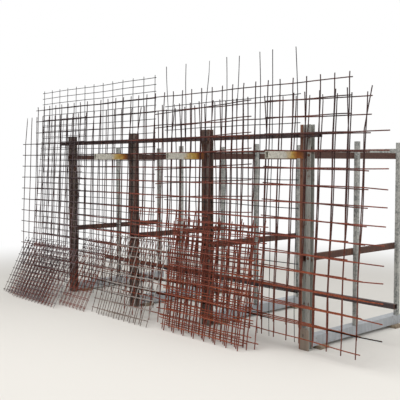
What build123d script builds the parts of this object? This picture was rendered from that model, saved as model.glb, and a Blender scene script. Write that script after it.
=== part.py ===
"""Welded rebar mats hung and leant on the front of a long steel storage rack.

Frame: +X runs along the rack to its near end, +Y runs into the rack, +Z is up.
The model is drawn from the near front post, then everything is moved so that the
origin is the middle of the footprint on the floor.
"""
import os
from math import cos, radians, sin, tan

from build123d import *

# Rack: four bents, each a double-channel front post and two tube posts on a base runner
# They stand a little unevenly, where their arms pass between the columns of the hung mats
BENT_X = (40, -1270, -2530, -3850)
POST_HEIGHT = 2015
CHANNEL_DEPTH = 60
CHANNEL_FLANGE = 38
CHANNEL_WALL = 6
FOOT_PLATE = 12
TUBE_POST = 40
TUBE_WALL = 4
MIDDLE_POST_Y = 715
BACK_POST_Y = 1420
BACK_POST_TOP = 1880

# Base runner of each bent, on two sleepers
RUNNER_WIDTH = 100
RUNNER_HEIGHT = 90
RUNNER_WALL = 6
RUNNER_BACK = 1500
SLEEPER_HEIGHT = 30
SLEEPER_LENGTH = 200
SLEEPER_WIDTH = 120
SLEEPER_INSET = 60

# Beams through the front posts: the top ones reach out as arms, except at the far bent
BEAM_WIDTH = 40
BEAM_HEIGHT = 60
BEAM_WALL = 4
BEAM_BACK = 1480
ARM_TOP = 1775
ARM_REACH = 500
SHELF_TOP = 860
FAR_STUB = 20

# Rails along the rack
RAIL = 45
RAIL_WALL = 3
RAIL_TOP = 1945
RAIL_OVERHANG = 130
LOW_RAIL_TOP = 400
LOW_RAIL_OVERHANG = 450
BACK_RAIL_TOP = 1820

# Bars: a square bar on edge of the round bar's area, so that two ridges meet at each weld
RIDGE_FACTOR = 0.625
HEAVY_BAR = 8
MEDIUM_BAR = 6
LIGHT_BAR = 5

# Clearance that a mat keeps from what carries it
SEAT = 0.3

# How far the bars of a leaning mat reach past the bar that they lean on
TIP = 12

# Lowest place of a row above the foot of a mat
ROW_CLEAR = 20

# Pitch of the common rust mats, and the bar ends past their last weld
PITCH = 150
BAR_END = 50


def ridge(bar):
    """Half the diagonal of the square bar that stands for a round one."""
    return bar * RIDGE_FACTOR


def steps(first, pitch, count):
    """Evenly spaced places."""
    return [first + pitch * index for index in range(count)]


def square_bar(start, along, across, length, bar):
    """Square bar on edge, from start along a direction."""
    half = ridge(bar)
    section = Polygon((half, 0), (0, half), (-half, 0), (0, -half), align=None)
    return extrude(Plane(origin=start, x_dir=across, z_dir=along) * section, amount=length)


def welded_mat(columns, rows, left, right, height, bar, rows_behind=False):
    """One mat in its own XZ plane: columns from z = 0 to height, rows from left to right.

    The back ridges lie in the plane y = 0, and the rows are in front of the columns or behind.
    """
    behind_y = -ridge(bar)
    before_y = behind_y - bar
    row_y, column_y = (behind_y, before_y) if rows_behind else (before_y, behind_y)
    bars = [square_bar((x, column_y, 0), (0, 0, 1), (1, 0, 0), height, bar) for x in columns]
    bars += [square_bar((left, row_y, z), (1, 0, 0), (0, 1, 0), right - left, bar) for z in rows]
    return bars[0].fuse(*bars[1:])


class Stand:
    """Where a mat stands or hangs, seen along the rack: its back face leans on a seat."""

    def __init__(self, lean, seat, bar, foot_z=0.0):
        self.angle = radians(lean)
        self.lean = lean
        self.bar = bar
        self.depth = 2 * ridge(bar) + bar
        seat_y, seat_z = seat
        self.foot_z = foot_z
        self.foot_y = seat_y - SEAT / cos(self.angle) - (seat_z - foot_z) * tan(self.angle)

    def front_at(self, z):
        """The y of the front face at a height."""
        back = self.foot_y + (z - self.foot_z) * tan(self.angle)
        return back - self.depth / cos(self.angle)

    def over(self, z):
        """A seat on the front face at a height."""
        return (self.front_at(z), z)

    def on_columns(self, z):
        """A seat on the front ridges of the columns, which lie behind the rows."""
        return (self.front_at(z) + self.bar / cos(self.angle), z)

    def reach(self, z):
        """Length of a bar that ends a little above a height."""
        return (z + TIP - self.foot_z) / cos(self.angle)

    def on_row(self, up):
        """A seat on the front ridge of the row that is a distance up the mat."""
        z = self.foot_z + up * cos(self.angle) + self.depth * sin(self.angle)
        y = self.foot_y + up * sin(self.angle) - self.depth * cos(self.angle)
        return (y, z)

    def place(self, shape, x=0.0, tilt=0.0):
        """Lean a mat back, with a turn in its own plane first."""
        return Pos(x, self.foot_y, self.foot_z) * Rot(-self.lean, 0, 0) * Rot(0, tilt, 0) * shape


def hung_foot(lean, row_up, bar, tilt=0.0):
    """Height of a mat's foot when one of its rows lies on the arms."""
    angle = radians(lean)
    turn = radians(abs(tilt))
    up = row_up * cos(turn) - (BEAM_WIDTH * sin(turn) / 2 + ridge(bar)) / cos(turn)
    return ARM_TOP + SEAT - up * cos(angle) - (ridge(bar) + bar) * sin(angle)


def rows_within(height, first, pitch):
    """Places of the rows on bars of a given length."""
    return steps(first, pitch, int((height - first) // pitch) + 1)


def rows_under(top, pitch):
    """Places of the rows from the lowest one, clear of the floor, up to a given one."""
    below = int((top - ROW_CLEAR) // pitch)
    return steps(top - pitch * below, pitch, below + 1)


def hollow(width, depth, height, wall, along):
    """Rectangular tube with its low corner edges at the origin and its bore along one axis."""
    low = (Align.CENTER, Align.MIN, Align.MIN)
    outer = Box(width, depth, height, align=low)
    bore_width, bore_depth, bore_height = width - 2 * wall, depth - 2 * wall, height - 2 * wall
    if along == "Z":
        bore = Pos(0, wall, 0) * Box(bore_width, bore_depth, height, align=low)
    else:
        bore = Pos(0, 0, wall) * Box(bore_width, depth, bore_height, align=low)
    return outer - bore


def long_rail(size, wall, length):
    """Square tube along X, from x = 0, in the corner above y = 0 and z = 0."""
    low = (Align.MIN, Align.MIN, Align.MIN)
    bore = size - 2 * wall
    return Box(length, size, size, align=low) - Pos(0, wall, wall) * Box(length, bore, bore, align=low)


def front_post():
    """Two channels back to back with an arm's width between them, on one foot plate."""
    low = (Align.MIN, Align.MIN, Align.MIN)
    rise = POST_HEIGHT - FOOT_PLATE
    web = Box(CHANNEL_WALL, CHANNEL_DEPTH, rise, align=low)
    flange = Box(CHANNEL_FLANGE, CHANNEL_WALL, rise, align=low)
    channel = web + flange + Pos(0, CHANNEL_DEPTH - CHANNEL_WALL, 0) * flange
    right = Pos(BEAM_WIDTH / 2, 0, FOOT_PLATE) * channel
    plate_width = BEAM_WIDTH + 2 * CHANNEL_FLANGE
    plate = Box(plate_width, CHANNEL_DEPTH, FOOT_PLATE, align=(Align.CENTER, Align.MIN, Align.MIN))
    return right + mirror(right, about=Plane.YZ) + plate


parts = {}

# Bents
base_top = SLEEPER_HEIGHT + RUNNER_HEIGHT
runner_length = RUNNER_BACK - CHANNEL_DEPTH
tube_x = (BEAM_WIDTH + TUBE_POST) / 2
post = front_post()
runner = hollow(RUNNER_WIDTH, runner_length, RUNNER_HEIGHT, RUNNER_WALL, "Y")
sleeper = Box(SLEEPER_LENGTH, SLEEPER_WIDTH, SLEEPER_HEIGHT, align=(Align.CENTER, Align.MIN, Align.MIN))
tube_post = hollow(TUBE_POST, TUBE_POST, BACK_POST_TOP - base_top, TUBE_WALL, "Z")
shelf_beam = hollow(BEAM_WIDTH, BEAM_BACK, BEAM_HEIGHT, BEAM_WALL, "Y")

for index, x in enumerate(BENT_X):
    bent = f"bent_{index + 1}"
    reach = FAR_STUB if x == BENT_X[-1] else ARM_REACH
    arm = hollow(BEAM_WIDTH, BEAM_BACK + reach, BEAM_HEIGHT, BEAM_WALL, "Y")
    back_sleeper_y = RUNNER_BACK - SLEEPER_INSET - SLEEPER_WIDTH
    parts[f"{bent}_front_post"] = Pos(x, 0, 0) * post
    parts[f"{bent}_base_runner"] = Pos(x, CHANNEL_DEPTH, SLEEPER_HEIGHT) * runner
    parts[f"{bent}_front_sleeper"] = Pos(x, CHANNEL_DEPTH + SLEEPER_INSET, 0) * sleeper
    parts[f"{bent}_back_sleeper"] = Pos(x, back_sleeper_y, 0) * sleeper
    parts[f"{bent}_middle_post"] = Pos(x + tube_x, MIDDLE_POST_Y - TUBE_POST / 2, base_top) * tube_post
    parts[f"{bent}_back_post"] = Pos(x + tube_x, BACK_POST_Y - TUBE_POST / 2, base_top) * tube_post
    parts[f"{bent}_arm"] = Pos(x, -reach, ARM_TOP - BEAM_HEIGHT) * arm
    parts[f"{bent}_shelf_beam"] = Pos(x, 0, SHELF_TOP - BEAM_HEIGHT) * shelf_beam

# Rails
post_half = BEAM_WIDTH / 2 + CHANNEL_FLANGE
rail_start = BENT_X[-1] - post_half - RAIL_OVERHANG
rail_length = BENT_X[0] + post_half + RAIL_OVERHANG - rail_start
rail = long_rail(RAIL, RAIL_WALL, rail_length)
low_rail = long_rail(RAIL, RAIL_WALL, rail_length - RAIL_OVERHANG + LOW_RAIL_OVERHANG)
parts["front_rail"] = Pos(rail_start, -RAIL, RAIL_TOP - RAIL) * rail
parts["low_rail"] = Pos(rail_start, MIDDLE_POST_Y - TUBE_POST / 2 - RAIL, LOW_RAIL_TOP - RAIL) * low_rail
parts["back_rail"] = Pos(rail_start, BACK_POST_Y + TUBE_POST / 2, BACK_RAIL_TOP - RAIL) * rail

rail_edge = (-RAIL, RAIL_TOP)

# Fine mat at the far end, hung on an arm and leaning on the front rail
FINE_COLUMN_PITCH = 200
FINE_ROW_PITCH = 75
FINE_PAST_BENT = 485
FINE_COLUMNS = 13
FINE_ROWS = 34
FINE_FIRST_ROW = 60
FINE_HUNG_ROW = 22
FINE_LEAN = 1
FINE_END = 30
fine_columns = steps(BENT_X[2] + FINE_PAST_BENT, -FINE_COLUMN_PITCH, FINE_COLUMNS)
fine_rows = steps(FINE_FIRST_ROW, FINE_ROW_PITCH, FINE_ROWS)
fine_stand = Stand(
    FINE_LEAN, rail_edge, MEDIUM_BAR, hung_foot(FINE_LEAN, fine_rows[FINE_HUNG_ROW], MEDIUM_BAR)
)
fine_height = fine_rows[-1] + FINE_END


def halves(name, stand, columns, rows, height, bar, near_end, far_end):
    """A long mat as two nodes that meet face to face between two columns."""
    middle = len(columns) // 2
    cut = (columns[middle - 1] + columns[middle]) / 2
    near = welded_mat(columns[:middle], rows, cut, columns[0] + near_end, height, bar)
    far = welded_mat(columns[middle:], rows, columns[-1] - far_end, cut, height, bar)
    parts[f"{name}_near_half"] = stand.place(near)
    parts[f"{name}_far_half"] = stand.place(far)


halves("fine_mat", fine_stand, fine_columns, fine_rows, fine_height, MEDIUM_BAR, FINE_END, FINE_END)

# Tall mat with unevenly spaced bars, whose tips stand highest
TALL_COLUMNS = (0, 2, 3, 5, 6, 8, 10, 12)
TALL_RIGHT = 0
TALL_ROW_PITCH = 250
TALL_FIRST_ROW = 200
TALL_ROWS = 9
TALL_HUNG_ROW = 6
TALL_HEIGHT = 2620
TALL_LEAN = 1
TALL_END = 40
tall_columns = [TALL_RIGHT - PITCH * place for place in TALL_COLUMNS]
tall_rows = steps(TALL_FIRST_ROW, TALL_ROW_PITCH, TALL_ROWS)
tall_stand = Stand(TALL_LEAN, rail_edge, MEDIUM_BAR, hung_foot(TALL_LEAN, tall_rows[TALL_HUNG_ROW], MEDIUM_BAR))
tall_mat = welded_mat(
    tall_columns, tall_rows, tall_columns[-1] - TALL_END, tall_columns[0] + TALL_END, TALL_HEIGHT, MEDIUM_BAR
)
parts["tall_mat"] = tall_stand.place(tall_mat)

# Two short mats side by side, each hung askew on one arm, which passes between two columns
ASKEW_ROWS = 15
ASKEW_HUNG_ROW = 11
ASKEW_HEIGHT = 2190
ASKEW_TOP = 2330
ASKEW_LEAN = 1.4
LEFT_ASKEW_COLUMNS = 10
LEFT_ASKEW_TILT = -2.5
RIGHT_ASKEW_COLUMNS = 8
RIGHT_ASKEW_TILT = 1.5
RIGHT_ASKEW_CELLS = 1
askew_rows = steps(BAR_END, PITCH, ASKEW_ROWS)


def askew_mat(name, bent, count, tilt, cells):
    """Mat whose middle cell is a number of cells away from the arm that carries it."""
    columns = steps(-PITCH * (count - 1) / 2, PITCH, count)
    sheet = welded_mat(columns, askew_rows, columns[0] - BAR_END, columns[-1] + BAR_END, ASKEW_HEIGHT, HEAVY_BAR)
    row_up = askew_rows[ASKEW_HUNG_ROW]
    drop = cells * PITCH * sin(radians(tilt))
    foot = hung_foot(ASKEW_LEAN, row_up + drop, HEAVY_BAR, tilt)
    stand = Stand(ASKEW_LEAN, tall_stand.over(ASKEW_TOP), HEAVY_BAR, foot)
    x = BENT_X[bent] - row_up * sin(radians(tilt)) + cells * PITCH
    parts[name] = stand.place(sheet, x, tilt)
    return stand


askew_stand = askew_mat("left_askew_mat", 1, LEFT_ASKEW_COLUMNS, LEFT_ASKEW_TILT, 0)
askew_mat("right_askew_mat", 0, RIGHT_ASKEW_COLUMNS, RIGHT_ASKEW_TILT, RIGHT_ASKEW_CELLS)

# Wide mat, the middle one of the stack
WIDE_NEAR_COLUMN = 560
WIDE_COLUMNS = 35
WIDE_ROWS = 15
WIDE_FIRST_ROW = 134
WIDE_HUNG_ROW = 10
WIDE_LEAN = 1.8
WIDE_END = 40
wide_columns = steps(WIDE_NEAR_COLUMN, -PITCH, WIDE_COLUMNS)
wide_rows = steps(WIDE_FIRST_ROW, PITCH, WIDE_ROWS)
wide_height = wide_rows[-1] + BAR_END
wide_foot = hung_foot(WIDE_LEAN, wide_rows[WIDE_HUNG_ROW], HEAVY_BAR)
wide_stand = Stand(WIDE_LEAN, askew_stand.over(ASKEW_TOP), HEAVY_BAR, wide_foot)
halves("wide_mat", wide_stand, wide_columns, wide_rows, wide_height, HEAVY_BAR, WIDE_END, WIDE_END)

# Long mat, the front one of the hung stack
LONG_NEAR_COLUMN = 735
LONG_COLUMNS = 38
LONG_ROWS = 12
LONG_FIRST_ROW = 30
LONG_HUNG_ROW = 10
LONG_TOP_END = 362
LONG_NEAR_END = 245
LONG_LEAN = 2.3
LONG_TOP = 2280
long_columns = steps(LONG_NEAR_COLUMN, -PITCH, LONG_COLUMNS)
long_rows = steps(LONG_FIRST_ROW, PITCH, LONG_ROWS)
long_height = long_rows[-1] + LONG_TOP_END
long_foot = hung_foot(LONG_LEAN, long_rows[LONG_HUNG_ROW], HEAVY_BAR)
long_stand = Stand(LONG_LEAN, wide_stand.over(LONG_TOP), HEAVY_BAR, long_foot)
halves("long_mat", long_stand, long_columns, long_rows, long_height, HEAVY_BAR, LONG_NEAR_END, BAR_END)

# Grey fine mat at the far end, on the floor, its top row on the columns of the long mat
GREY_COLUMN_PITCH = 100
GREY_ROW_PITCH = 75
GREY_RIGHT = -3330
GREY_COLUMNS = 11
GREY_TOP = 2240
GREY_LEAN = 6.5
GREY_END = 30
grey_stand = Stand(GREY_LEAN, long_stand.on_columns(GREY_TOP), LIGHT_BAR)
grey_height = grey_stand.reach(GREY_TOP)
grey_columns = steps(GREY_RIGHT, -GREY_COLUMN_PITCH, GREY_COLUMNS)
grey_rows = rows_under(grey_height - TIP, GREY_ROW_PITCH)
grey_mat = welded_mat(
    grey_columns,
    grey_rows,
    grey_columns[-1] - GREY_END,
    GREY_RIGHT + GREY_END,
    grey_height,
    LIGHT_BAR,
    rows_behind=True,
)
parts["grey_mat"] = grey_stand.place(grey_mat)


def leaning_mat(name, behind, behind_row, lean, left, count, pitch, row_pitch, end, bar, from_top=False):
    """Mat on the floor whose bars end just above the row that they lean on."""
    seat = behind.on_row(behind_row)
    stand = Stand(lean, seat, bar)
    height = stand.reach(seat[1])
    columns = steps(left, pitch, count)
    rows = rows_under(height - end, row_pitch) if from_top else rows_within(height - end / 2, end, row_pitch)
    sheet = welded_mat(columns, rows, columns[0] - end, columns[-1] + end, height, bar)
    parts[name] = stand.place(sheet)
    return stand, rows


# Rust mats on the floor, the first one leaning on the long mat and each next one on the last
FRONT_LEFT = (-2300, -1470, -1425, -1490, -1445, -1380)
FRONT_COLUMNS = (9, 9, 8, 9, 8, 8)
FRONT_LEAN = 6
FRONT_EXTRA_LEAN = 1
FRONT_LONG_ROW = 6
front_mats = []
behind, behind_row = long_stand, long_rows[FRONT_LONG_ROW]
for index, (left, count) in enumerate(zip(FRONT_LEFT, FRONT_COLUMNS)):
    behind, rows = leaning_mat(
        f"front_mat_{index + 1}", behind, behind_row, FRONT_LEAN + FRONT_EXTRA_LEAN * index,
        left, count, PITCH, PITCH, BAR_END, HEAVY_BAR, from_top=True,
    )
    behind_row = rows[-1]
    front_mats.append((behind, rows))

# Brown grid and the light grid in front of it, framed by their outer bars
GRID_COLUMN_PITCH = 96
GRID_ROW_PITCH = 105
GRID_COLUMNS = 10
BROWN_GRID_LEFT = -2620
BROWN_GRID_LEAN = 19
BROWN_GRID_SEAT_ROW = 5
LIGHT_GRID_LEFT = -2440
LIGHT_GRID_LEAN = 20
front_stand, front_rows = front_mats[0]
brown_stand, brown_rows = leaning_mat(
    "brown_grid", front_stand, front_rows[BROWN_GRID_SEAT_ROW], BROWN_GRID_LEAN,
    BROWN_GRID_LEFT, GRID_COLUMNS, GRID_COLUMN_PITCH, GRID_ROW_PITCH, TIP, MEDIUM_BAR, from_top=True,
)
leaning_mat(
    "light_grid", brown_stand, brown_rows[-1], LIGHT_GRID_LEAN,
    LIGHT_GRID_LEFT, GRID_COLUMNS, GRID_COLUMN_PITCH, GRID_ROW_PITCH, TIP, MEDIUM_BAR, from_top=True,
)

# Off-cuts, fanned out, each on the one behind it
OFFCUTS = 6
OFFCUT_COLUMN_PITCH = 75
OFFCUT_ROW_PITCH = 100
OFFCUT_COLUMNS = 14
OFFCUT_LEAN = 27
OFFCUT_EXTRA_LEAN = 0.5
OFFCUT_END = 20
OFFCUT_LEFT = -4500
OFFCUT_SHIFT = 95
OFFCUT_SEAT = 680
behind = grey_stand
behind_row = min(grey_rows, key=lambda up: abs(up - OFFCUT_SEAT))
for index in range(OFFCUTS):
    behind, rows = leaning_mat(
        f"offcut_{index + 1}", behind, behind_row, OFFCUT_LEAN + OFFCUT_EXTRA_LEAN * index,
        OFFCUT_LEFT + OFFCUT_SHIFT * index, OFFCUT_COLUMNS, OFFCUT_COLUMN_PITCH, OFFCUT_ROW_PITCH,
        OFFCUT_END, LIGHT_BAR,
    )
    behind_row = rows[-1]

# Origin in the middle of the footprint, on the floor
boxes = [shape.bounding_box() for shape in parts.values()]
middle_x = (min(box.min.X for box in boxes) + max(box.max.X for box in boxes)) / 2
middle_y = (min(box.min.Y for box in boxes) + max(box.max.Y for box in boxes)) / 2
to_origin = Pos(-middle_x, -middle_y, 0)

os.makedirs("parts", exist_ok=True)
for name, shape in parts.items():
    export_step(to_origin * shape, f"parts/{name}.step", write_pcurves=False)
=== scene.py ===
"""Looks of the rebar bundle: rusty welded mats hung and leant on a long steel rack."""

from math import ceil, cos, radians, sin, tan
from random import Random

import bpy
from bpy.props import FloatProperty, FloatVectorProperty, IntProperty, PointerProperty
from mathutils import Matrix, Vector


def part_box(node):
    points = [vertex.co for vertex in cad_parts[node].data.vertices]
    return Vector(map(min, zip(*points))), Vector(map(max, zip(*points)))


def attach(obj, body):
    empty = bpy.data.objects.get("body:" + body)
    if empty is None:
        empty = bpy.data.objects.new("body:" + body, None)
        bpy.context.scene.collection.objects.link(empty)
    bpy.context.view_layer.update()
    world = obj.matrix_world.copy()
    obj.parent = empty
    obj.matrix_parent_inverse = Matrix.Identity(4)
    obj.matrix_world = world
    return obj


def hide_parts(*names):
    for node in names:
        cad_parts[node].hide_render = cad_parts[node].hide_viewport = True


bl_info = {
    "name": "Rebar bundle",
    "version": (1, 0, 0),
    "blender": (4, 5, 0),
    "location": "3D View > Sidebar > Rebar bundle",
    "description": "Welded rebar mats hung and leant on a storage rack",
    "category": "Object",
}

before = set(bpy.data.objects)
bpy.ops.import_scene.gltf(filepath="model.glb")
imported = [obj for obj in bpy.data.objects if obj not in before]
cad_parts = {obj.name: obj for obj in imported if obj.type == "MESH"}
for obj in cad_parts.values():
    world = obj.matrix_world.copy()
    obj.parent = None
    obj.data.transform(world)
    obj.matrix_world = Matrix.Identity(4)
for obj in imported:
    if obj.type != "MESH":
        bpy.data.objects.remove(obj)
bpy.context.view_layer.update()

BAR_SIDES = 8
SMOOTH_BELOW = radians(40)
MESH_PITCH = 0.150  # of the stock mesh that the rust mats are made of
BENTS = (1, 2, 3, 4)  # of the rack, from the near end


# ---------------------------------------------------------------- shared helpers


def linear(code):
    """An sRGB hex colour as linear red, green and blue."""
    parts = [int(code[i:i + 2], 16) / 255 for i in (1, 3, 5)]
    return [c / 12.92 if c <= 0.04045 else ((c + 0.055) / 1.055) ** 2.4 for c in parts]


def colour(title, code, text):
    """A colour setting whose default is an sRGB hex code."""
    return FloatVectorProperty(
        name=title, description=text, default=linear(code), subtype="COLOR", size=3, min=0, max=1
    )


def setting(title, value, text, **kind):
    """A setting that is one number."""
    return FloatProperty(name=title, description=text, default=value, **kind)


def length(title, value, text):
    """A length setting in metres."""
    return setting(title, value, text, unit="LENGTH", precision=4)


def joint_box(nodes):
    """Lowest and highest corner of several CAD nodes together."""
    boxes = [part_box(node) for node in nodes]
    low = Vector([min(box[0][axis] for box in boxes) for axis in range(3)])
    high = Vector([max(box[1][axis] for box in boxes) for axis in range(3)])
    return low, high


def only(piece):
    """Select one object and make it the active one."""
    bpy.ops.object.select_all(action="DESELECT")
    piece.select_set(True)
    bpy.context.view_layer.objects.active = piece


def settle(piece):
    """Put the place, turn and size of an object into its mesh."""
    only(piece)
    bpy.ops.object.transform_apply(location=True, rotation=True, scale=True)


def joined(pieces, name):
    """Several objects as one, named."""
    bpy.ops.object.select_all(action="DESELECT")
    for piece in pieces:
        piece.select_set(True)
    bpy.context.view_layer.objects.active = pieces[0]
    if len(pieces) > 1:
        bpy.ops.object.join()
    whole = bpy.context.view_layer.objects.active
    whole.name = name
    whole.data.name = name
    return whole


def cylinder(sides, diameter, depth, middle, turn):
    """A new cylinder, with its place in its mesh."""
    bpy.ops.object.select_all(action="DESELECT")
    bpy.ops.mesh.primitive_cylinder_add(
        vertices=sides, radius=diameter / 2, depth=depth, end_fill_type="NGON", location=middle,
        rotation=turn,
    )
    piece = bpy.context.object
    settle(piece)
    return piece


def pick(piece, kind, chosen):
    """Select the vertices or edges that pass a test, and leave the piece in edit mode."""
    only(piece)
    bpy.ops.object.mode_set(mode="EDIT")
    bpy.ops.mesh.select_mode(type=kind)
    bpy.ops.mesh.select_all(action="DESELECT")
    bpy.ops.object.mode_set(mode="OBJECT")
    for part in piece.data.vertices if kind == "VERT" else piece.data.edges:
        part.select = chosen(part)
    bpy.ops.object.mode_set(mode="EDIT")


def straight_bar(diameter, start, end, cuts):
    """A round bar between two points, with rings of vertices along it that let it bend."""
    run = end - start
    turn = run.to_track_quat("Z", "Y").to_euler()
    bar = cylinder(BAR_SIDES, diameter, run.length, (start + end) / 2, turn)

    def lengthwise(edge):
        first, last = (bar.data.vertices[v].co for v in edge.vertices)
        return (last - first).length > run.length / 2

    pick(bar, "EDGE", lengthwise)
    bpy.ops.mesh.subdivide(number_cuts=cuts)
    bpy.ops.object.mode_set(mode="OBJECT")
    return bar


def finished(piece, slot, *materials):
    """Give a piece its finish, where it has none yet, and let it ride on the part."""
    for material in materials:
        piece.data.materials.append(material)
    only(piece)
    bpy.ops.object.shade_smooth_by_angle(angle=SMOOTH_BELOW)
    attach(piece, "root")


# ---------------------------------------------------------------- materials


def add_node(tree, kind, inputs=None, links=None, stops=None, **settings):
    """Add one node with its settings, socket values, incoming links and ramp colours."""
    node = tree.nodes.new(kind)
    for name, value in settings.items():
        setattr(node, name, value)
    for name, value in (inputs or {}).items():
        node.inputs[name].default_value = value
    for name, source in (links or {}).items():
        tree.links.new(source, node.inputs[name])
    if stops:
        points = node.color_ramp.elements
        while len(points) < len(stops):
            points.new(0.5)
        for point, (place, shade) in zip(points, stops):
            point.position = place
            point.color = (*shade, 1) if hasattr(shade, "__len__") else (shade, shade, shade, 1)
    return node


def blank(name):
    """A material with only its shader, its tree and the object coordinates."""
    material = bpy.data.materials.new(name)
    material.use_nodes = True
    tree = material.node_tree
    tree.nodes.clear()
    shader = add_node(tree, "ShaderNodeBsdfPrincipled")
    add_node(tree, "ShaderNodeOutputMaterial", links={"Surface": shader.outputs[0]})
    place = add_node(tree, "ShaderNodeTexCoord").outputs["Object"]
    return material, tree, shader, place


def per_metre(millimetres):
    """Noise scale whose features are about this wide."""
    return 1000 / millimetres


def oxide_bar(name, fresh, deep, scale, low, high, even, far=0.0):
    """Hot-rolled rebar left outdoors: red oxide where rain reaches it, dark mill scale higher up.

    It is dull and speckled, with patches about 300 mm wide, and goes from fresh over deep to scale
    between two heights. even is how much the patches shift that, far how much the far end adds.
    """
    material, tree, shader, place = blank(name)
    patches = add_node(
        tree, "ShaderNodeTexNoise", {"Scale": per_metre(300), "Detail": 4, "Roughness": 0.6},
        {"Vector": place},
    )
    speckle = add_node(
        tree, "ShaderNodeTexNoise", {"Scale": per_metre(14), "Detail": 3, "Roughness": 0.7},
        {"Vector": place},
    )
    axes = add_node(tree, "ShaderNodeSeparateXYZ", links={"Vector": place})
    rise = add_node(
        tree, "ShaderNodeMapRange", {"From Min": low, "From Max": high}, {"Value": axes.outputs["Z"]}
    )
    spread = add_node(
        tree, "ShaderNodeMapRange", {"From Min": 0.3, "From Max": 0.7, "To Min": -even, "To Max": even},
        {"Value": patches.outputs["Fac"]},
    )
    # Darker towards the far end of the rack
    far_end_darkening = add_node(
        tree, "ShaderNodeMapRange", {"From Min": -0.3, "From Max": -1.5, "To Max": far},
        {"Value": axes.outputs["X"]},
    )
    darker = add_node(
        tree, "ShaderNodeMath", links={0: rise.outputs[0], 1: far_end_darkening.outputs[0]}, operation="ADD"
    )
    level = add_node(
        tree, "ShaderNodeMath", links={0: darker.outputs[0], 1: spread.outputs[0]}, operation="ADD",
        use_clamp=True,
    )
    base = add_node(
        tree, "ShaderNodeValToRGB", links={"Fac": level.outputs[0]},
        stops=[(0.0, fresh), (0.45, deep), (1.0, scale)],
    )
    grain = add_node(
        tree, "ShaderNodeValToRGB", links={"Fac": speckle.outputs["Fac"]},
        stops=[(0.35, 0.55), (0.55, 1.0), (0.72, 1.5)],
    )
    shade = add_node(
        tree, "ShaderNodeMixRGB", {"Fac": 1.0},
        {"Color1": base.outputs["Color"], "Color2": grain.outputs["Color"]}, blend_type="MULTIPLY",
    )
    # Slanting ribs 8 mm apart: the wave runs along the diagonal, so its period on a bar is twice 0.314 m
    # over the scale
    ribs = add_node(
        tree, "ShaderNodeTexWave", {"Scale": 0.628 / 0.008, "Distortion": 0.5}, {"Vector": place},
        bands_direction="DIAGONAL",
    )
    relief = add_node(
        tree, "ShaderNodeBump", {"Strength": 0.5, "Distance": 0.0006}, {"Height": ribs.outputs["Fac"]}
    )
    pits = add_node(
        tree, "ShaderNodeBump", {"Strength": 0.6, "Distance": 0.0008},
        {"Height": speckle.outputs["Fac"], "Normal": relief.outputs["Normal"]},
    )
    tree.links.new(shade.outputs["Color"], shader.inputs["Base Color"])
    tree.links.new(pits.outputs["Normal"], shader.inputs["Normal"])
    shader.inputs["Roughness"].default_value = 0.9
    shader.inputs["Specular IOR Level"].default_value = 0.2
    return material


def weathered_steel(name, coat, rust, stain, amount, gloss, edge=None, right=None):
    """Old brushed-on paint over mild steel: rust breaks through in patches and runs down in streaks.

    amount is how much of the paint is gone, gloss the roughness of what is left. Past edge, along the
    rack, the coat has the colour right, as the right-hand member of a post.
    """
    material, tree, shader, place = blank(name)
    patches = add_node(
        tree, "ShaderNodeTexNoise", {"Scale": per_metre(90), "Detail": 6, "Roughness": 0.65},
        {"Vector": place},
    )
    flat = add_node(tree, "ShaderNodeMapping", {"Scale": (1.0, 1.0, 0.08)}, {"Vector": place})
    streaks = add_node(
        tree, "ShaderNodeTexNoise", {"Scale": per_metre(25), "Detail": 4, "Roughness": 0.6},
        {"Vector": flat.outputs["Vector"]},
    )
    both = add_node(
        tree, "ShaderNodeMath", {1: 0.6}, {0: streaks.outputs["Fac"], 2: patches.outputs["Fac"]},
        operation="MULTIPLY_ADD",
    )
    gone = 0.36 * amount
    cover = add_node(
        tree, "ShaderNodeMapRange", {"From Min": 0.98 - gone, "From Max": 1.1 - gone},
        {"Value": both.outputs[0]},
    )
    tone = add_node(
        tree, "ShaderNodeValToRGB", links={"Fac": patches.outputs["Fac"]},
        stops=[(0.3, stain), (0.65, rust)],
    )
    mixed = add_node(
        tree, "ShaderNodeMixRGB", {"Color1": (*coat, 1)},
        {"Fac": cover.outputs[0], "Color2": tone.outputs["Color"]},
    )
    if edge is not None:
        side = add_node(tree, "ShaderNodeSeparateXYZ", links={"Vector": place})
        past = add_node(tree, "ShaderNodeMath", {1: edge}, {0: side.outputs["X"]}, operation="GREATER_THAN")
        member = add_node(
            tree, "ShaderNodeMixRGB", {"Color1": (*coat, 1), "Color2": (*right, 1)},
            {"Fac": past.outputs[0]},
        )
        tree.links.new(member.outputs["Color"], mixed.inputs["Color1"])
    grime = add_node(
        tree, "ShaderNodeValToRGB", links={"Fac": streaks.outputs["Fac"]}, stops=[(0.3, 0.8), (0.62, 1.06)]
    )
    shade = add_node(
        tree, "ShaderNodeMixRGB", {"Fac": 1.0},
        {"Color1": mixed.outputs["Color"], "Color2": grime.outputs["Color"]}, blend_type="MULTIPLY",
    )
    relief = add_node(
        tree, "ShaderNodeBump", {"Strength": 0.6, "Distance": 0.0015}, {"Height": patches.outputs["Fac"]}
    )
    dull = add_node(
        tree, "ShaderNodeMapRange", {"To Min": gloss, "To Max": 0.9}, {"Value": cover.outputs[0]}
    )
    tree.links.new(shade.outputs["Color"], shader.inputs["Base Color"])
    tree.links.new(dull.outputs[0], shader.inputs["Roughness"])
    tree.links.new(relief.outputs["Normal"], shader.inputs["Normal"])
    return material


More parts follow.
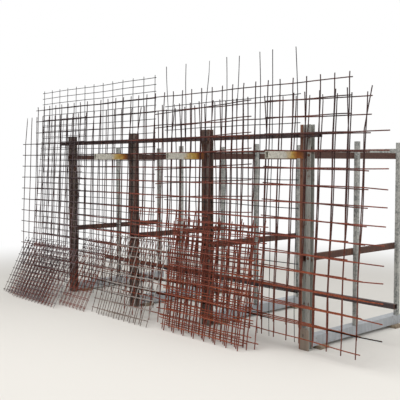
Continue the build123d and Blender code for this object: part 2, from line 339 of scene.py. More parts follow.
def banded_arm(name, stops, front, back):
    """Mild steel box section that rain has bleached at its outer end, going through ochre and orange to
    dark brown near the post.

    The stops' colours follow each other from front to back, with ragged borders.
    """
    material, tree, shader, place = blank(name)
    along = add_node(tree, "ShaderNodeSeparateXYZ", links={"Vector": place})
    patches = add_node(
        tree, "ShaderNodeTexNoise", {"Scale": per_metre(110), "Detail": 5, "Roughness": 0.6},
        {"Vector": place},
    )
    run = add_node(
        tree, "ShaderNodeMapRange", {"From Min": front, "From Max": back}, {"Value": along.outputs["Y"]}
    )
    shift = add_node(
        tree, "ShaderNodeMapRange", {"From Min": 0.25, "From Max": 0.75, "To Min": -0.09, "To Max": 0.09},
        {"Value": patches.outputs["Fac"]},
    )
    level = add_node(
        tree, "ShaderNodeMath", links={0: run.outputs[0], 1: shift.outputs[0]}, operation="ADD",
        use_clamp=True,
    )
    base = add_node(tree, "ShaderNodeValToRGB", links={"Fac": level.outputs[0]}, stops=stops)
    speckle = add_node(
        tree, "ShaderNodeTexNoise", {"Scale": per_metre(20), "Detail": 4, "Roughness": 0.65},
        {"Vector": place},
    )
    grain = add_node(
        tree, "ShaderNodeValToRGB", links={"Fac": speckle.outputs["Fac"]},
        stops=[(0.35, 0.68), (0.65, 1.15)],
    )
    shade = add_node(
        tree, "ShaderNodeMixRGB", {"Fac": 1.0},
        {"Color1": base.outputs["Color"], "Color2": grain.outputs["Color"]}, blend_type="MULTIPLY",
    )
    relief = add_node(
        tree, "ShaderNodeBump", {"Strength": 0.5, "Distance": 0.001}, {"Height": speckle.outputs["Fac"]}
    )
    tree.links.new(shade.outputs["Color"], shader.inputs["Base Color"])
    tree.links.new(relief.outputs["Normal"], shader.inputs["Normal"])
    shader.inputs["Roughness"].default_value = 0.78
    return material


def galvanised_tube(name, zinc, dull_zinc):
    """Hot-dip galvanised tube after years outdoors: matt grey with faint spangles about 15 mm wide."""
    material, tree, shader, place = blank(name)
    spangle = add_node(tree, "ShaderNodeTexVoronoi", {"Scale": per_metre(15)}, {"Vector": place})
    bloom = add_node(
        tree, "ShaderNodeTexNoise", {"Scale": per_metre(120), "Detail": 5, "Roughness": 0.6},
        {"Vector": place},
    )
    value = add_node(tree, "ShaderNodeSeparateColor", links={"Color": spangle.outputs["Color"]})
    level = add_node(
        tree, "ShaderNodeMath", {1: 0.35}, {0: value.outputs[0], 2: bloom.outputs["Fac"]},
        operation="MULTIPLY_ADD",
    )
    base = add_node(
        tree, "ShaderNodeValToRGB", links={"Fac": level.outputs[0]}, stops=[(0.4, dull_zinc), (0.85, zinc)]
    )
    dull = add_node(
        tree, "ShaderNodeMapRange", {"To Min": 0.45, "To Max": 0.7}, {"Value": level.outputs[0]}
    )
    tree.links.new(base.outputs["Color"], shader.inputs["Base Color"])
    tree.links.new(dull.outputs[0], shader.inputs["Roughness"])
    shader.inputs["Metallic"].default_value = 0.35
    return material


def sawn_timber(name, light, dark):
    """Sawn softwood greyed by rain: open grain along the board with dark checks a few millimetres apart."""
    material, tree, shader, place = blank(name)
    grain_run = add_node(tree, "ShaderNodeMapping", {"Scale": (0.06, 1.0, 1.0)}, {"Vector": place})
    grain = add_node(
        tree, "ShaderNodeTexNoise", {"Scale": per_metre(9), "Detail": 6, "Roughness": 0.6},
        {"Vector": grain_run.outputs["Vector"]},
    )
    base = add_node(
        tree, "ShaderNodeValToRGB", links={"Fac": grain.outputs["Fac"]}, stops=[(0.36, dark), (0.62, light)]
    )
    relief = add_node(
        tree, "ShaderNodeBump", {"Strength": 0.7, "Distance": 0.002}, {"Height": grain.outputs["Fac"]}
    )
    tree.links.new(base.outputs["Color"], shader.inputs["Base Color"])
    tree.links.new(relief.outputs["Normal"], shader.inputs["Normal"])
    shader.inputs["Roughness"].default_value = 0.9
    return material


# ---------------------------------------------------------------- settings


class MatSizes(bpy.types.PropertyGroup):
    """Sizes of the welded mats."""

    heavy: length("Heavy bar", 0.008, "Diameter of the bars of the common rust mats")
    medium: length("Medium bar", 0.006, "Diameter of the bars of the fine mat, the tall mat and the grids")
    light: length("Light bar", 0.005, "Diameter of the bars of the grey mat and the off-cuts")
    ribs: setting("Over the ribs", 1.25, "Width of a bar over its ribs, over its nominal diameter")
    ridge: setting("Ridge factor", 0.625, "Half the height of a source bar over its diameter")
    rest: length("Rest", 0.0003, "Clearance between a mat and what it leans on")
    row_clear: length("Lowest row", 0.020, "Lowest place of a row above the foot of a mat")
    ring: length("Ring spacing", 0.06, "Distance between the rings of vertices that let a bar bend")
    sway: length("Sideways waves", 0.022, "How far the bars wander along the mat")
    bulge: length("Bulges", 0.018, "How far a mat bulges out of its plane")
    sag: length("Sagging rows", 0.014, "How far the rows wander up and down")
    wave: length("Wave size", 0.5, "Size of the waves in a mat")
    tip_bend: setting("Tip bend", 0.07, "How far a free column end is bent, over its own length")
    end_bend: setting("Row end bend", 0.022, "How far a free row end is bent, over its own length")


class MatColours(bpy.types.PropertyGroup):
    """Colours of the welded mats."""

    # The rows get fresh and bright and the columns mostly deep and dark, though both are the same rust: the
    # rows' lighter colour is painted light from above and the columns' darker colour painted shade
    fresh: colour("Fresh rust", "#955036", "Orange rust on the rows near the ground")
    bright: colour("Bright rust", "#82473A", "Red rust on the rows halfway up")
    deep: colour("Deep rust", "#703F33", "Red-brown rust on the columns near the ground")
    dark: colour("Dark rust", "#553630", "Dark rust on the columns halfway up")
    scale: colour("Mill scale", "#3E3030", "Purple-brown scale high up on a mat")
    black: colour("Dark mesh", "#2E292B", "The fine mat and the tall mat")
    black_low: colour("Dark mesh, low", "#45332E", "The same mats near the ground")
    brown: colour("Brown mesh", "#6B5248", "The brown grid")
    pale: colour("Pale mesh", "#9E958F", "The light grid")
    pale_low: colour("Pale mesh, dirty", "#7A6C61", "The light grid where it is dirty")
    mauve: colour("Grey mesh", "#7C6C6D", "The off-cuts and the grey mat")
    mauve_dark: colour("Grey mesh, dark", "#544A4C", "The same where they are darker")


class RackColours(bpy.types.PropertyGroup):
    """Colours of the rack."""

    post: colour("Post paint", "#5B463D", "Brown paint of the front posts")
    near_post: colour("Near post paint", "#8E5E48", "Redder left-hand member of the near post")
    post_right: colour("Grey member", "#A3A49E", "Grey right-hand member of the near post")
    far_right: colour("Far grey member", "#74665E", "Greyer right-hand members of the other posts")
    rust: colour("Rack rust", "#6A4636", "Rust on the painted steel")
    stain: colour("Rack stain", "#3B2E29", "Dark stains in that rust")
    shoe: colour("Shoe", "#8E8073", "Dusty plate at the foot of the near post")
    rail: colour("Rail", "#46393A", "Front rail and low rail")
    bleached: colour("Bleached end", "#C4C1B5", "Outer ends of the arms")
    ochre: colour("Ochre", "#BE9C4C", "Middle of the arms")
    orange: colour("Orange rust", "#A5601F", "Inner part of the arms")
    brown: colour("Beam rust", "#4A2F26", "Beams behind the posts")
    zinc: colour("Zinc", "#B2B2AD", "Tube posts at the middle and the back")
    zinc_dull: colour("Dull zinc", "#6F7371", "The same where they are dull")
    runner: colour("Runner paint", "#A3A7AB", "Grey paint of the base runners")
    timber: colour("Timber", "#A1917C", "Sleepers under the runners")
    timber_dark: colour("Timber grain", "#62564A", "Dark grain of the sleepers")


class FixingSizes(bpy.types.PropertyGroup):
    """Sizes of the bolts, the welds and the shoe on the rack."""

    bolt: length("Bolt head", 0.019, "Width across the flats of the bolts in the front posts")
    bolt_rise: length("Bolt height", 0.008, "Height of a bolt head")
    bolt_side: length("Bolt place", 0.020, "From the beam between a post's channels to a bolt")
    washer: length("Washer", 0.003, "Thickness of a washer")
    weld: length("Weld bead", 0.007, "Thickness of a weld bead")
    weld_end: length("Weld end", 0.002, "From the edge of a channel to the end of a weld bead")
    weld_sink: length("Weld depth", 0.001, "How far the axis of a weld bead lies in the rail")
    weld_wave: length("Weld waves", 0.004, "How far a weld bead wanders")
    shoe_width: length("Shoe width", 0.095, "Width of the plate at the foot of the near post")
    shoe_height: length("Shoe height", 0.20, "Height of that plate")
    shoe_plate: length("Shoe plate", 0.008, "Thickness of that plate")
    slot: length("Shoe slot", 0.013, "Width of the slot in that plate")


class StageSettings(bpy.types.PropertyGroup):
    """Camera, floor and light."""

    camera_side: length("Camera, along the rack", 4.03, "From the near front post to the camera")
    camera_front: length("Camera, in front", 4.87, "From the front of the posts to the camera")
    camera_height: length("Camera height", 1.68, "Camera above the floor")
    turn: setting("Camera turn", radians(41.93), "Angle of the view to the rack", subtype="ANGLE")
    tip: setting("Camera tip", radians(3.04), "How far the camera looks down", subtype="ANGLE")
    lens: setting("Lens", 63.54, "Focal length in millimetres")
    floor: colour("Floor", "#DAD7D1", "Plain pale floor")
    sky: setting("Sky light", 0.62, "Strength of the even light from all round")
    lamp: setting("Lamp", 330, "Power of the large soft lamp overhead", unit="POWER")
    floor_size: length("Floor size", 400, "Width of the floor")
    fade_start: length("Fade from", 3.2, "Distance at which the floor starts to go over to white")
    fade_end: length("Fade to", 7.5, "Distance at which it is white")
    seed: IntProperty(name="Seed", description="Choice of the waves in the mats", default=4)


# ---------------------------------------------------------------- welded mats

# Each mat: its CAD nodes, its bar and how thick that looks over its diameter, the number of columns and
# those left out, the free ends of its rows at the near and the far side, its rows (first, pitch and count,
# with 0 for as many as fit and a pitch below 0 for rows that start at the top), and its lean and tilt in
# degrees. Its box is read from its nodes.
HUNG = (
    dict(name="fine_mat_bars", nodes=("fine_mat_near_half", "fine_mat_far_half"), bar="medium", columns=13,
         ends=(0.030, 0.030), rows=(0.060, 0.075, 34), lean=1, finish="dark", slot="dark_fine_mesh"),
    dict(name="tall_mat_bars", nodes=("tall_mat",), bar="medium", columns=13, missing=(1, 4, 7, 9, 11),
         ends=(0.040, 0.040), rows=(0.200, 0.250, 9), lean=1, finish="dark", slot="dark_tall_mesh"),
    dict(name="left_askew_mat_bars", nodes=("left_askew_mat",), bar="heavy", columns=10,
         ends=(0.050, 0.050), rows=(0.050, MESH_PITCH, 15), lean=1.4, tilt=-2.5, finish="brown",
         slot="brown_rust_mesh"),
    dict(name="right_askew_mat_bars", nodes=("right_askew_mat",), bar="heavy", columns=8,
         ends=(0.050, 0.050), rows=(0.050, MESH_PITCH, 15), lean=1.4, tilt=1.5, finish="brown",
         slot="brown_rust_mesh"),
    dict(name="wide_mat_bars", nodes=("wide_mat_near_half", "wide_mat_far_half"), bar="heavy", columns=35,
         ends=(0.040, 0.040), rows=(0.134, MESH_PITCH, 15), lean=1.8, finish="brown",
         slot="brown_rust_mesh"),
    dict(name="long_mat_bars", nodes=("long_mat_near_half", "long_mat_far_half"), bar="heavy", columns=38,
         ends=(0.245, 0.050), rows=(0.030, MESH_PITCH, 12), lean=2.3, finish="brown",
         slot="brown_rust_mesh"),
)
LEANT = (
    dict(name="grey_mat_bars", nodes=("grey_mat",), bar="light", columns=11, ends=(0.030, 0.030),
         rows=(-0.012, -0.075, 0), lean=6.5, rows_behind=True, finish="grey", slot="grey_mesh"),
    dict(name="brown_grid_bars", nodes=("brown_grid",), bar="medium", columns=10, ends=(0.012, 0.012),
         rows=(-0.012, -0.105, 0), lean=19, finish="earth", slot="brown_rust_mesh"),
    dict(name="light_grid_bars", nodes=("light_grid",), bar="medium", columns=10, ends=(0.012, 0.012),
         rows=(-0.012, -0.105, 0), lean=20, thick=1.6, finish="pale", slot="pale_mesh"),
)
# Columns and lowest row of the front mats, whose rows fall together in pairs of lines
FRONT = tuple(
    dict(name=f"front_mat_{index + 1}_bars", nodes=(f"front_mat_{index + 1}",), bar="heavy",
         columns=columns, ends=(0.050, 0.050), rows=(first, MESH_PITCH, 0), lean=6 + index,
         finish="orange", slot="orange_rust_mesh")
    for index, (columns, first) in enumerate(
        ((9, 0.100), (9, 0.055), (8, 0.045), (9, 0.120), (8, 0.108), (8, 0.060))
    )
)
OFFCUTS = tuple(
    dict(name=f"offcut_{index + 1}_bars", nodes=(f"offcut_{index + 1}",), bar="light", columns=14,
         ends=(0.020, 0.020), rows=(first, 0.100, 0), lean=27 + 0.5 * index,
         finish=finish, slot="grey_mesh")
    for index, (first, finish) in enumerate((
        (0.020, "dark"), (0.070, "grey"), (0.040, "grey"), (0.090, "rusty_cut"), (0.030, "rusty_cut"),
        (0.060, "grey"),
    ))
)
# Two narrow rusty off-cuts behind the fan
RUSTY_SEAT_ROW = 3  # row of the long mat, counted from 0, on which the first leans
RUSTY_WIDTH = 0.565
RUSTY_TOP = 0.030  # height above the row on which it leans
RUSTY_GAP = 0.030  # from the grey mat
RUSTY_STEP = 0.055  # from one to the next


def mat_finish(key, rows=False):
    """The finish of the columns or the rows of a kind of mat, made once. A rows kind is its columns' rust
    painted lighter, as painted light from above.
    """
    tone = bpy.context.scene.rebar_mat_colours
    # Name, colours low, halfway and high, the heights between which they change, how patchy they are, and
    # how much darker they get towards the far end. Zinc and drawn wire show the same pattern, only duller.
    kinds = {
        "dark": ("Mill-scaled bar", tone.black_low, tone.black, tone.black, 0.0, 1.4, 0.3),
        "brown": ("Rusted rebar", tone.deep, tone.dark, tone.scale, 0.2, 2.4, 0.3, 0.45),
        # The rows kinds are lighter copies of the columns' rust: painted light from above on the rows
        "brown_rows": ("Rusted rebar rows with painted light", tone.fresh, tone.bright, tone.scale, 0.0, 2.4, 0.25, 0.55),
        "orange": ("Fresh-rusted rebar", tone.bright, tone.bright, tone.deep, 0.0, 1.4, 0.5),
        "orange_rows": ("Orange-rusted rebar", tone.fresh, tone.bright, tone.bright, 0.0, 1.4, 0.6),
        "earth": ("Brown rusted mesh", tone.brown, tone.brown, tone.deep, 0.0, 1.2, 0.4),
        "pale": ("Galvanised mesh", tone.pale_low, tone.pale, tone.pale, 0.0, 0.5, 0.3),
        "grey": ("Dusty drawn wire", tone.mauve, tone.mauve, tone.mauve_dark, 0.0, 1.6, 0.5),
        "rusty_cut": ("Rusted drawn wire", tone.bright, tone.deep, tone.mauve_dark, 0.0, 0.9, 0.5),
    }
    name, *finish = kinds[f"{key}_rows" if rows and f"{key}_rows" in kinds else key]
    return bpy.data.materials.get(name) or oxide_bar(name, *finish)


def repeated(bar, count, step):
    """A bar and its copies at even steps, as one piece."""
    only(bar)
    array = bar.modifiers.new("Repeat", "ARRAY")
    array.count = count
    array.use_relative_offset = False
    array.use_constant_offset = True
    array.constant_offset_displace = step
    bpy.ops.object.modifier_apply(modifier=array.name)
    return bar


def take_out(bars, places, reach):
    """Delete the bars at some places along the mat."""
    pick(bars, "VERT", lambda point: any(abs(point.co.x - place) < reach for place in places))
    bpy.ops.mesh.delete(type="VERT")
    bpy.ops.object.mode_set(mode="OBJECT")


def push(piece, direction, strength, size):
    """Bend a piece with soft noise along one axis."""
    noise = bpy.data.textures.new(f"{piece.name}_{direction}", "CLOUDS")
    noise.noise_scale = size
    noise.noise_depth = 0
    bend = piece.modifiers.new("Bend", "DISPLACE")
    bend.texture = noise
    bend.texture_coords = "LOCAL"
    bend.direction = direction
    bend.strength = strength
    bend.mid_level = 0.5
    only(piece)
    bpy.ops.object.modifier_apply(modifier=bend.name)


def bend_ends(bars, along, across, first, step, weld, bend, chance, side=1):
    """Bend the free ends past the last weld, each bar its own way.

    along is the axis of the bars, across the one on which they follow each other from first by step.
    side is -1 for the ends at the low side of that axis.
    """
    turns = {}
    for point in bars.data.vertices:
        past = (point.co[along] - weld) * side
        if past <= 0:
            continue
        bar = round((point.co[across] - first) / step)
        if bar not in turns:
            turns[bar] = (chance.gauss(0, bend), chance.gauss(0, bend / 2))
        aside, out = turns[bar]
        point.co[across] += aside * past
        point.co.y += out * past


def cuts_in(run, ring):
    """How many rings of vertices a bar gets between its ends."""
    return max(1, ceil(run / ring) - 1)


def mat_depth(bar, sizes):
    """Depth of a source mat, whose bars of two layers overlap ridge to ridge."""
    return 2 * sizes.ridge * bar + bar


def build_mat(spec, number):
    """One welded mat: columns and rows of round bars, bent a little, leant like its source."""
    sizes = bpy.context.scene.rebar_mat_sizes
    seed = bpy.context.scene.rebar_stage.seed
    bar = getattr(sizes, spec["bar"])
    low, high = spec["box"] if "box" in spec else joint_box(spec["nodes"])
    lean, tilt = radians(spec["lean"]), radians(spec.get("tilt", 0))
    near_end, far_end = spec["ends"]
    count = spec["columns"]
    span = high - low
    rise = (span.z - mat_depth(bar, sizes) * sin(lean)) / cos(lean)
    if tilt:
        width = (count - 1) * MESH_PITCH + near_end + far_end
        height = (rise - width * sin(abs(tilt))) / cos(tilt)
    else:
        width, height = span.x, rise
    pitch = (width - near_end - far_end) / (count - 1)

    # Rows, counted from the bottom, or from the top where the pitch is downwards
    first, row_pitch, row_count = spec["rows"]
    if row_pitch < 0:
        row_count = int((height + first - sizes.row_clear) // -row_pitch) + 1
        first += height
    elif not row_count:
        row_count = int((height - near_end / 2 - first) // row_pitch) + 1
    last = first + row_pitch * (row_count - 1)
    top_row = max(first, last)

    # Columns at the back and rows in front, or the other way round
    behind = -sizes.ridge * bar
    before = behind - bar
    row_y, column_y = (behind, before) if spec.get("rows_behind") else (before, behind)
    near = width / 2 - near_end
    thick = bar * spec.get("thick", sizes.ribs)
    foot, head = Vector((near, column_y, 0)), Vector((near, column_y, height))
    column = straight_bar(thick, foot, head, cuts_in(height, sizes.ring))
    columns = repeated(column, count, (-pitch, 0, 0))
    if spec.get("missing"):
        take_out(columns, [near - pitch * place for place in spec["missing"]], pitch / 2)
    left, right = Vector((-width / 2, row_y, first)), Vector((width / 2, row_y, first))
    row = straight_bar(thick, left, right, cuts_in(width, sizes.ring))
    rows = repeated(row, row_count, (0, 0, row_pitch))
    chance = Random(seed * 100 + number)
    bend_ends(columns, 2, 0, near, pitch, top_row + bar, sizes.tip_bend, chance)
    bend_ends(rows, 0, 2, first, row_pitch, near + bar, sizes.end_bend, chance)
    bend_ends(rows, 0, 2, first, row_pitch, far_end - width / 2 - bar, sizes.end_bend, chance, -1)
    # The rows take a lighter copy of the columns' rust: painted light from above
    columns.data.materials.append(mat_finish(spec["finish"]))
    rows.data.materials.append(mat_finish(spec["finish"], rows=True))
    mat = joined([columns, rows], spec["name"])

    # Turn and lean it, and put it where its source is
    mat.rotation_euler = (Matrix.Rotation(-lean, 3, "X") @ Matrix.Rotation(tilt, 3, "Y")).to_euler()
    settle(mat)
    corners = [Vector(corner) for corner in mat.bound_box]
    middle = (Vector(map(min, zip(*corners))) + Vector(map(max, zip(*corners)))) / 2
    mat.location = (low + high) / 2 - middle
    settle(mat)

    # Waves of five sizes, so that mats next to each other differ, and of another length along each axis
    size = sizes.wave * (0.85 + 0.13 * ((number * 3 + seed) % 5))
    push(mat, "X", sizes.sway, size)
    push(mat, "Y", sizes.bulge, size * 1.2)
    push(mat, "Z", sizes.sag, size * 0.9)

    # No bar passes the mat's box
    for point in mat.data.vertices:
        for axis in range(3):
            point.co[axis] = min(max(point.co[axis], low[axis]), high[axis])
    finished(mat, spec["slot"])
    if "nodes" in spec:
        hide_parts(*spec["nodes"])


def rusty_offcuts(sizes):
    """Two rusty off-cuts that are no CAD nodes: one leans on a row of the long mat, the next one on it."""
    long_mat = HUNG[-1]
    first_row, pitch, _ = long_mat["rows"]
    mat_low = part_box(long_mat["nodes"][-1])[0]
    seat_z = mat_low.z + first_row + RUSTY_SEAT_ROW * pitch
    seat_y = mat_low.y + (seat_z - mat_low.z) * tan(radians(long_mat["lean"])) - sizes.rest
    depth = mat_depth(sizes.light, sizes)
    specs = ()
    for index in range(2):
        spec = dict(name=f"rusty_offcut_{index + 1}_bars", bar="light", columns=8, ends=(0.020, 0.020),
                    rows=(-0.020 - 0.030 * index, -0.100, 0), lean=27.5 + index, finish="rusty_cut",
                    slot="grey_mesh")
        lean = radians(spec["lean"])
        height = (seat_z + RUSTY_TOP) / cos(lean)
        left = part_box("grey_mat")[1].x + RUSTY_GAP + RUSTY_STEP * index
        foot = seat_y - seat_z * tan(lean)
        spec["box"] = (
            Vector((left, foot - depth * cos(lean), 0)),
            Vector((left + RUSTY_WIDTH, foot + height * sin(lean), height * cos(lean) + depth * sin(lean))),
        )
        specs += (spec,)

        # The next one leans on the top row of this one
        top_row = height + spec["rows"][0]
        seat_y = spec["box"][0].y + top_row * sin(lean) - sizes.rest
        seat_z = top_row * cos(lean) + depth * sin(lean)
    return specs


class REBAR_OT_hung_mats(bpy.types.Operator):
    """Build the mats that hang from the arms"""

    bl_idname = "rebar.hung_mats"
    bl_label = "Hung mats"

    def execute(self, context):
        for number, spec in enumerate(HUNG):
            build_mat(spec, number)
        return {"FINISHED"}


class REBAR_OT_leant_mats(bpy.types.Operator):
    """Build the mats and grids that stand on the floor and lean on the hung ones"""

    bl_idname = "rebar.leant_mats"
    bl_label = "Leaning mats"

    def execute(self, context):
        for number, spec in enumerate(LEANT + FRONT):
            build_mat(spec, number + len(HUNG))
        return {"FINISHED"}


class REBAR_OT_offcuts(bpy.types.Operator):
    """Build the off-cuts that are fanned out at the far end"""

    bl_idname = "rebar.offcuts"
    bl_label = "Off-cuts"

    def execute(self, context):
        number = len(HUNG + LEANT + FRONT)
        for spec in OFFCUTS + rusty_offcuts(context.scene.rebar_mat_sizes):
            build_mat(spec, number)
            number += 1
        return {"FINISHED"}


# ---------------------------------------------------------------- rack

CHANNEL_GAP = 0.004  # between the beam in a post and the post's grey member
SHORT_ARM = 0.1  # an arm that reaches out less than this has no coloured bands
BAND_PAST = 0.06  # how far the bands go on behind the front of the post


def coat_node(node, material):
    """Put a finish on a CAD node."""
    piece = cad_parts[node]
    if not piece.material_slots:
        piece.data.materials.append(material)
    for slot in piece.material_slots:
        slot.material = material


class REBAR_OT_rack_finish(bpy.types.Operator):
    """Give every tube, channel and sleeper of the rack its finish"""

    bl_idname = "rebar.rack_finish"
    bl_label = "Rack finish"

    def execute(self, context):
        shades = context.scene.rebar_rack_colours
        rail = weathered_steel("Rusted rail", shades.rail, shades.rust, shades.stain, 0.4, 0.65)
        runner = weathered_steel("Grey painted runner", shades.runner, shades.rust, shades.stain, 0.12, 0.5)
        zinc = galvanised_tube("Galvanised tube", shades.zinc, shades.zinc_dull)
        timber = sawn_timber("Weathered softwood", shades.timber, shades.timber_dark)
        beam = weathered_steel("Rusted box beam", shades.brown, shades.rust, shades.stain, 0.5, 0.75)
        for bent in BENTS:
            name = f"bent_{bent}"
            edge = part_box(f"{name}_shelf_beam")[0].x - CHANNEL_GAP
            if bent == 1:
                paint, coats = shades.near_post, (0.3, 0.55, edge, shades.post_right)
            else:
                paint, coats = shades.post, (0.45, 0.6, edge, shades.far_right)
            post = weathered_steel(f"Painted channel {bent}", paint, shades.rust, shades.stain, *coats)
            coat_node(f"{name}_front_post", post)
            coat_node(f"{name}_base_runner", runner)
            coat_node(f"{name}_front_sleeper", timber)
            coat_node(f"{name}_back_sleeper", timber)
            coat_node(f"{name}_middle_post", zinc)
            coat_node(f"{name}_back_post", zinc)
            coat_node(f"{name}_shelf_beam", beam)
            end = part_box(f"{name}_arm")[0].y
            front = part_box(f"{name}_front_post")[0].y
            arm = beam if front - end < SHORT_ARM else banded_arm(
                f"Weathered arm {bent}",
                [(0.0, shades.bleached), (0.34, shades.bleached), (0.52, shades.ochre),
                 (0.7, shades.orange), (0.84, shades.brown), (1.0, shades.brown)],
                end, front + BAND_PAST,
            )
            coat_node(f"{name}_arm", arm)
        coat_node("front_rail", rail)
        coat_node("low_rail", rail)
        coat_node("back_rail", zinc)
        return {"FINISHED"}


HEAD_SINK = 0.001  # how far a bolt head goes into its washer
HEAD_BEVEL = 0.0012
WASHER_SHARE = 1.44  # diameter of a washer over the width of the head


def hex_bolt(place, sizes):
    """A hexagon bolt head on the front of a post, with a washer under it."""
    turn = (radians(90), 0, 0)
    across = sizes.bolt / cos(radians(30))
    seat = sizes.washer - HEAD_SINK
    head = cylinder(6, across, sizes.bolt_rise, place - Vector((0, sizes.bolt_rise / 2 + seat, 0)), turn)
    pick(head, "EDGE", lambda edge: True)
    bpy.ops.mesh.bevel(offset=HEAD_BEVEL, segments=1)
    bpy.ops.object.mode_set(mode="OBJECT")
    middle = place - Vector((0, sizes.washer / 2, 0))
    return [head, cylinder(20, sizes.bolt * WASHER_SHARE, sizes.washer, middle, turn)]


SHOULDER = 0.35  # rounding of the shoe, and place of its slot, over its width
SLOT_SIDE = 0.35
SLOT_FOOT = 0.62  # start of the slot over the shoe's height
SLOT_RUN = 1.3  # straight length of the slot over its own width


def foot_shoe(right, front, sizes):
    """Flat plate with rounded shoulders and one upright slot, on the front of the near post."""
    bpy.ops.object.select_all(action="DESELECT")
    bpy.ops.mesh.primitive_cube_add(
        size=1, scale=(sizes.shoe_width, sizes.shoe_plate, sizes.shoe_height),
        location=(right - sizes.shoe_width / 2, front - sizes.shoe_plate / 2, sizes.shoe_height / 2),
    )
    plate = bpy.context.object
    settle(plate)

    def upper_corner(edge):
        first, last = (plate.data.vertices[v].co for v in edge.vertices)
        return first.z > sizes.shoe_height / 2 and abs(first.y - last.y) > sizes.shoe_plate / 2

    pick(plate, "EDGE", upper_corner)
    bpy.ops.mesh.bevel(offset=sizes.shoe_width * SHOULDER, segments=8)
    bpy.ops.object.mode_set(mode="OBJECT")

    # The slot is a long hole: a bar with round ends, cut out of the plate
    slot_foot = sizes.shoe_height * SLOT_FOOT
    middle = (right - sizes.shoe_width * (1 - SLOT_SIDE), front - sizes.shoe_plate / 2, slot_foot)
    slot = cylinder(20, sizes.slot, sizes.shoe_plate * 4, middle, (radians(90), 0, 0))
    pick(slot, "VERT", lambda point: point.co.z > slot_foot + 0.0001)
    bpy.ops.transform.translate(value=(0, 0, sizes.slot * SLOT_RUN))
    bpy.ops.object.mode_set(mode="OBJECT")
    only(plate)
    cut = plate.modifiers.new("Slot", "BOOLEAN")
    cut.operation = "DIFFERENCE"
    cut.object = slot
    bpy.ops.object.modifier_apply(modifier=cut.name)
    only(slot)
    bpy.ops.object.delete()
    only(plate)
    edge = plate.modifiers.new("Edges", "BEVEL")
    edge.width = 0.001
    edge.segments = 2
    bpy.ops.object.modifier_apply(modifier=edge.name)
    plate.name = "near_post_shoe"
    return plate


WELD_CUTS = 8  # rings of vertices in a weld bead
WELD_WAVE_SIZE = 0.012


class REBAR_OT_rack_fixings(bpy.types.Operator):
    """Add the bolts, the welds at the rail and the slotted shoe of the near post"""

    bl_idname = "rebar.rack_fixings"
    bl_label = "Rack fixings"

    def execute(self, context):
        sizes = context.scene.rebar_fixing_sizes
        shades = context.scene.rebar_rack_colours
        bare = weathered_steel("Rusted bolt steel", shades.rust, shades.rust, shades.stain, 0.5, 0.6)
        bolts, beads = [], []
        rail_low, rail_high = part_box("front_rail")
        back = rail_high.y - sizes.weld_sink
        for bent in BENTS:
            low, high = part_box(f"bent_{bent}_front_post")
            beam_low, beam_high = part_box(f"bent_{bent}_shelf_beam")
            arm_low, arm_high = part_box(f"bent_{bent}_arm")
            for x in (beam_low.x - sizes.bolt_side, beam_high.x + sizes.bolt_side):
                for z in ((arm_low.z + arm_high.z) / 2, (beam_low.z + beam_high.z) / 2):
                    bolts += hex_bolt(Vector((x, low.y, z)), sizes)
            for left, right in ((low.x, beam_low.x), (beam_high.x, high.x)):
                for z in (rail_low.z, rail_high.z):
                    start = Vector((left + sizes.weld_end, back, z))
                    end = Vector((right - sizes.weld_end, back, z))
                    beads.append(straight_bar(sizes.weld, start, end, WELD_CUTS))
        finished(joined(bolts, "post_bolts"), "brown_steel", bare)
        low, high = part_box("bent_1_front_post")
        shoe = weathered_steel("Dusty shoe plate", shades.shoe, shades.rust, shades.stain, 0.2, 0.7)
        finished(foot_shoe(high.x, low.y, sizes), "brown_steel", shoe)
        piece = joined(beads, "rail_welds")
        push(piece, "Z", sizes.weld_wave, WELD_WAVE_SIZE)
        finished(piece, "brown_steel", bare)
        return {"FINISHED"}


# ---------------------------------------------------------------- stage


# One large lamp high in front, one weaker from the near end: name, place, radius and share of the power
LAMPS = (
    ("key", (0.8, -3.0, 6.5), 6.0, 1.0),
    ("fill", (6.0, 0.5, 4.5), 4.0, 0.3),
)
LAMP_AIM = Vector((0, 0, 0.9))


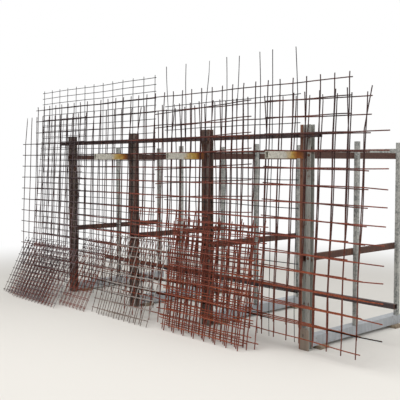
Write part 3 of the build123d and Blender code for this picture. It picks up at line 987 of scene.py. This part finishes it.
class REBAR_OT_stage(bpy.types.Operator):
    """Add the floor, the soft light and the camera at the photograph's place"""

    bl_idname = "rebar.stage"
    bl_label = "Stage"

    def execute(self, context):
        stage = context.scene.rebar_stage
        context.scene.view_settings.view_transform = "Standard"

        # Pale concrete, sealed and clean: matt and even, so that it only takes the shadow
        bpy.ops.object.select_all(action="DESELECT")
        bpy.ops.mesh.primitive_plane_add(size=stage.floor_size, location=(0, 0, 0))
        floor = context.object
        floor.name = "floor"
        material, tree, shader, place = blank("Pale floor")
        shader.inputs["Base Color"].default_value = (*stage.floor, 1)
        shader.inputs["Roughness"].default_value = 0.95
        shader.inputs["Specular IOR Level"].default_value = 0.0
        away = add_node(tree, "ShaderNodeVectorMath", links={0: place}, operation="LENGTH")
        fade = add_node(
            tree, "ShaderNodeMapRange", {"From Min": stage.fade_start, "From Max": stage.fade_end},
            {"Value": away.outputs["Value"]}, interpolation_type="SMOOTHSTEP",
        )
        eye = add_node(tree, "ShaderNodeLightPath")
        share = add_node(
            tree, "ShaderNodeMath", links={0: fade.outputs[0], 1: eye.outputs["Is Camera Ray"]},
            operation="MULTIPLY",
        )
        glow = add_node(tree, "ShaderNodeEmission", {"Color": (1, 1, 1, 1), "Strength": 1.0})
        blend = add_node(
            tree, "ShaderNodeMixShader",
            links={0: share.outputs[0], 1: shader.outputs[0], 2: glow.outputs[0]},
        )
        output = tree.nodes["Material Output"]
        tree.links.new(blend.outputs[0], output.inputs["Surface"])
        floor.data.materials.append(material)

        # Even light from all round; the camera and reflections see white
        world = bpy.data.worlds.new("Soft studio")
        context.scene.world = world
        world.use_nodes = True
        tree = world.node_tree
        tree.nodes.clear()
        path = add_node(tree, "ShaderNodeLightPath")
        seen = add_node(
            tree, "ShaderNodeMath",
            links={0: path.outputs["Is Camera Ray"], 1: path.outputs["Is Glossy Ray"]}, operation="ADD",
        )
        through = add_node(
            tree, "ShaderNodeMath",
            links={0: seen.outputs[0], 1: path.outputs["Is Transmission Ray"]}, operation="ADD",
            use_clamp=True,
        )
        strength = add_node(
            tree, "ShaderNodeMapRange", {"To Min": stage.sky, "To Max": 1.0}, {"Value": through.outputs[0]}
        )
        sky = add_node(
            tree, "ShaderNodeBackground", {"Color": (1, 1, 1, 1)}, {"Strength": strength.outputs[0]}
        )
        add_node(tree, "ShaderNodeOutputWorld", links={"Surface": sky.outputs[0]})

        for name, place, size, share in LAMPS:
            aim = LAMP_AIM - Vector(place)
            bpy.ops.object.select_all(action="DESELECT")
            bpy.ops.object.light_add(
                type="AREA", radius=size, location=place, rotation=aim.to_track_quat("-Z", "Y").to_euler()
            )
            lamp = context.object
            lamp.name = name
            lamp.data.energy = stage.lamp * share

        low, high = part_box("bent_1_arm")
        spot = Vector((
            (low.x + high.x) / 2 + stage.camera_side,
            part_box("front_rail")[1].y - stage.camera_front,
            stage.camera_height,
        ))
        level = cos(stage.tip)
        look = Vector((-cos(stage.turn) * level, sin(stage.turn) * level, -sin(stage.tip)))
        bpy.ops.object.select_all(action="DESELECT")
        bpy.ops.object.camera_add(location=spot, rotation=look.to_track_quat("-Z", "Y").to_euler())
        camera = context.object
        camera.data.sensor_width = 36
        camera.data.lens = stage.lens
        context.scene.camera = camera
        return {"FINISHED"}


class REBAR_PT_panel(bpy.types.Panel):
    """Every step of the rebar bundle, in order"""

    bl_idname = "REBAR_PT_panel"
    bl_label = "Rebar bundle"
    bl_space_type = "VIEW_3D"
    bl_region_type = "UI"
    bl_category = "Rebar bundle"

    def draw(self, context):
        for group in ("rebar_mat_sizes", "rebar_mat_colours", "rebar_rack_colours", "rebar_fixing_sizes",
                      "rebar_stage"):
            settings = getattr(context.scene, group)
            box = self.layout.box()
            for name in settings.__annotations__:
                box.prop(settings, name)
        for operator in OPERATORS:
            self.layout.operator(operator.bl_idname)


OPERATORS = (
    REBAR_OT_stage,
    REBAR_OT_hung_mats,
    REBAR_OT_leant_mats,
    REBAR_OT_offcuts,
    REBAR_OT_rack_finish,
    REBAR_OT_rack_fixings,
)
SETTINGS = {
    "rebar_mat_sizes": MatSizes,
    "rebar_mat_colours": MatColours,
    "rebar_rack_colours": RackColours,
    "rebar_fixing_sizes": FixingSizes,
    "rebar_stage": StageSettings,
}


def register():
    for group in SETTINGS.values():
        bpy.utils.register_class(group)
    for name, group in SETTINGS.items():
        setattr(bpy.types.Scene, name, PointerProperty(type=group))
    for operator in OPERATORS:
        bpy.utils.register_class(operator)
    bpy.utils.register_class(REBAR_PT_panel)


def unregister():
    bpy.utils.unregister_class(REBAR_PT_panel)
    for operator in reversed(OPERATORS):
        bpy.utils.unregister_class(operator)
    for name, group in SETTINGS.items():
        delattr(bpy.types.Scene, name)
        bpy.utils.unregister_class(group)


def main():
    register()
    bpy.ops.rebar.stage()
    bpy.ops.rebar.hung_mats()
    bpy.ops.rebar.leant_mats()
    bpy.ops.rebar.offcuts()
    bpy.ops.rebar.rack_finish()
    bpy.ops.rebar.rack_fixings()


if __name__ == "__main__":
    main()
